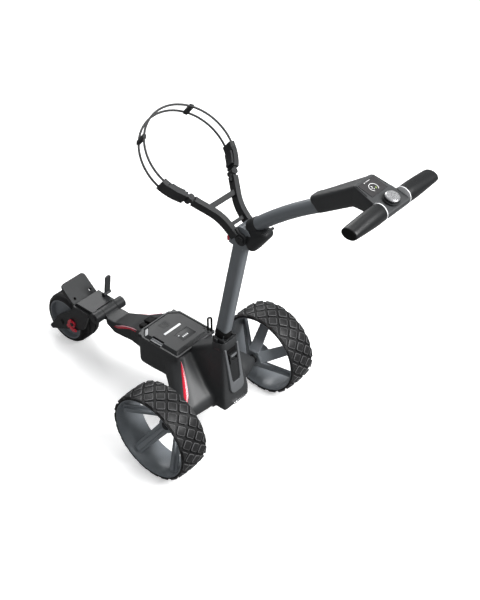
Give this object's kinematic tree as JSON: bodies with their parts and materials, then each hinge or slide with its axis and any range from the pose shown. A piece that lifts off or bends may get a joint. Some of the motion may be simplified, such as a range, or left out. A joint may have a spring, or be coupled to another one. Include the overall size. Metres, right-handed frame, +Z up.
{
  "type": "electric golf trolley",
  "caption": "Folding three-wheel electric golf trolley with a battery tray, dished wheels, a bag strap loop, a bag rest and a handle with a speed dial.",
  "frame": {"origin": "middle of the footprint, on the floor", "axes": "+X forward, +Y left, +Z up"},
  "size_m": [1.3042, 0.59, 1.068],
  "materials": {
    "tyre_rubber": "moulded tread",
    "rim_plastic": "satin slate",
    "button_red": "gloss",
    "steel": "bright",
    "chrome": "polished",
    "gear_brass": "cut teeth",
    "motor_metal": "grey paint",
    "shell_plastic": "fine grain",
    "cover_plastic": "satin grey",
    "frame_metal": "satin slate paint",
    "cord_rubber": "elastic",
    "grip_rubber": "soft touch",
    "board": "lacquer",
    "lens": "clear gloss"
  },
  "bodies": {
    "root": {"chassis_shell": "shell_plastic", "chassis_pan": "shell_plastic", "battery_tray": "shell_plastic", "controller_board": "board", "front_arm": "shell_plastic", "front_pin": "steel", "side_trims": "button_red", "arm_trims": "button_red", "rear_cover": "cover_plastic", "shaft_socket": "shell_plastic", "base_pin": "steel", "motor": "motor_metal", "gearbox_case": "motor_metal", "axle_bearings": "gear_brass"},
    "drive": {"drive_axle": "steel", "drive_gear": "gear_brass"},
    "pinion": {"motor_pinion": "gear_brass"},
    "wheel_left": {"tyre_left": "tyre_rubber", "rim_left": "rim_plastic"},
    "wheel_right": {"tyre_right": "tyre_rubber", "rim_right": "rim_plastic"},
    "release_left": {"release_left": "shell_plastic"},
    "release_right": {"release_right": "shell_plastic"},
    "battery": {"battery_case": "shell_plastic", "battery_lid": "shell_plastic", "battery_loop": "cord_rubber"},
    "battery_catch": {"battery_catch": "steel"},
    "shaft": {"lower_shaft": "frame_metal", "shaft_foot": "frame_metal", "shaft_head": "frame_metal", "bag_pin": "steel", "hinge_bracket": "shell_plastic", "stem_pin": "steel"},
    "shaft_latch": {"shaft_latch": "shell_plastic"},
    "release_tab": {"release_tab": "button_red"},
    "bag_support": {"bag_fork": "frame_metal", "cradle_pins": "steel", "strap_cords": "cord_rubber", "strap_clips": "shell_plastic"},
    "cradle_left": {"cradle_left": "shell_plastic"},
    "cradle_right": {"cradle_right": "shell_plastic"},
    "handle": {"stem_root": "frame_metal", "stem_tube": "frame_metal", "console_upper": "shell_plastic", "console_lower": "shell_plastic", "display_lens": "lens", "grip_left": "grip_rubber", "grip_right": "grip_rubber", "grip_rings": "chrome", "grip_cores": "steel"},
    "dial_switch": {"dial_spindle": "steel"},
    "dial": {"speed_dial": "steel"},
    "front": {"front_yoke": "shell_plastic", "bag_rest": "shell_plastic", "front_fork": "shell_plastic", "front_axle": "steel"},
    "front_wheel": {"front_rim": "rim_plastic", "front_tyre": "tyre_rubber"},
    "tracking_cam": {"tracking_cam": "button_red"},
    "fold_lever": {"fold_lever": "shell_plastic"}
  },
  "joints": [
    {"name": "axle_spin", "type": "hinge", "parent": "root", "child": "drive", "pos_m": [-0.07893, 0, 0.144], "axis": [0, 1, 0], "continuous": true},
    {"name": "pinion_spin", "type": "hinge", "parent": "root", "child": "pinion", "pos_m": [-0.0434, 0, 0.16057], "axis": [0, 1, 0], "continuous": true},
    {"name": "wheel_left_spin", "type": "hinge", "parent": "drive", "child": "wheel_left", "pos_m": [-0.07893, 0, 0.144], "axis": [0, 1, 0], "continuous": true},
    {"name": "wheel_right_spin", "type": "hinge", "parent": "drive", "child": "wheel_right", "pos_m": [-0.07893, 0, 0.144], "axis": [0, 1, 0], "continuous": true},
    {"name": "wheel_left_release", "type": "slide", "parent": "wheel_left", "child": "release_left", "axis": [0, -1, 0], "range_m": [0, 0.004], "stiffness_N_per_m": 800},
    {"name": "wheel_right_release", "type": "slide", "parent": "wheel_right", "child": "release_right", "axis": [0, 1, 0], "range_m": [0, 0.004], "stiffness_N_per_m": 800},
    {"name": "battery_lift", "type": "slide", "parent": "root", "child": "battery", "axis": [0, 0, 1], "range_m": [0, 0.04]},
    {"name": "battery_catch_lift", "type": "hinge", "parent": "battery", "child": "battery_catch", "pos_m": [0.07107, 0.069, 0.269], "axis": [1, 0, 0], "range_deg": [0, 40]},
    {"name": "shaft_fold", "type": "hinge", "parent": "root", "child": "shaft", "pos_m": [-0.10593, 0, 0.362], "axis": [0, 1, 0], "range_deg": [0, 95]},
    {"name": "shaft_latch_slide", "type": "slide", "parent": "root", "child": "shaft_latch", "axis": [0.1644, 0, 0.9864], "range_m": [0, 0.008], "stiffness_N_per_m": 500},
    {"name": "release_tab_press", "type": "slide", "parent": "shaft", "child": "release_tab", "axis": [-0.9796, 0, -0.2011], "range_m": [0, 0.005], "stiffness_N_per_m": 600},
    {"name": "bag_support_fold", "type": "hinge", "parent": "shaft", "child": "bag_support", "pos_m": [-0.201, 0, 0.75797], "axis": [0, 1, 0], "range_deg": [-38, 0]},
    {"name": "cradle_left_swing", "type": "hinge", "parent": "bag_support", "child": "cradle_left", "pos_m": [-0.07297, 0.08496, 0.85756], "axis": [-0.6428, 0, 0.766], "range_deg": [-25, 0], "deforming": ["strap_cords", "strap_clips"]},
    {"name": "cradle_right_swing", "type": "hinge", "parent": "bag_support", "child": "cradle_right", "pos_m": [-0.07297, -0.08496, 0.85756], "axis": [-0.6428, 0, 0.766], "range_deg": [0, 25], "deforming": ["strap_cords", "strap_clips"]},
    {"name": "handle_fold", "type": "hinge", "parent": "shaft", "child": "handle", "pos_m": [-0.2677, 0, 0.79717], "axis": [0, 1, 0], "range_deg": [-125, 0]},
    {"name": "dial_push", "type": "slide", "parent": "handle", "child": "dial_switch", "axis": [-0.2756, 0, 0.9613], "range_m": [-0.002, 0], "stiffness_N_per_m": 600},
    {"name": "dial_turn", "type": "hinge", "parent": "dial_switch", "child": "dial", "pos_m": [-0.62614, 0, 1.04533], "axis": [-0.2756, 0, 0.9613], "continuous": true},
    {"name": "front_fold", "type": "hinge", "parent": "root", "child": "front", "pos_m": [0.38807, 0, 0.198], "axis": [0, 1, 0], "range_deg": [0, 105]},
    {"name": "front_wheel_spin", "type": "hinge", "parent": "front", "child": "front_wheel", "pos_m": [0.56307, 0, 0.09], "axis": [0, 1, 0], "continuous": true},
    {"name": "tracking_cam_turn", "type": "hinge", "parent": "front", "child": "tracking_cam", "pos_m": [0.50407, 0.056, 0.114], "axis": [0, 1, 0], "range_deg": [-15, 15]},
    {"name": "fold_lever_pull", "type": "hinge", "parent": "front", "child": "fold_lever", "pos_m": [0.44407, -0.038, 0.211], "axis": [0, 1, 0], "range_deg": [-35, 0], "stiffness_Nm_per_rad": 0.5}
  ],
  "couplings": [
    {"joint": "pinion_spin", "follows": "axle_spin", "ratio": -3.3333},
    {"joint": "bag_support_fold", "follows": "shaft_fold", "ratio": -0.4},
    {"joint": "cradle_right_swing", "follows": "cradle_left_swing", "ratio": -1}
  ]
}
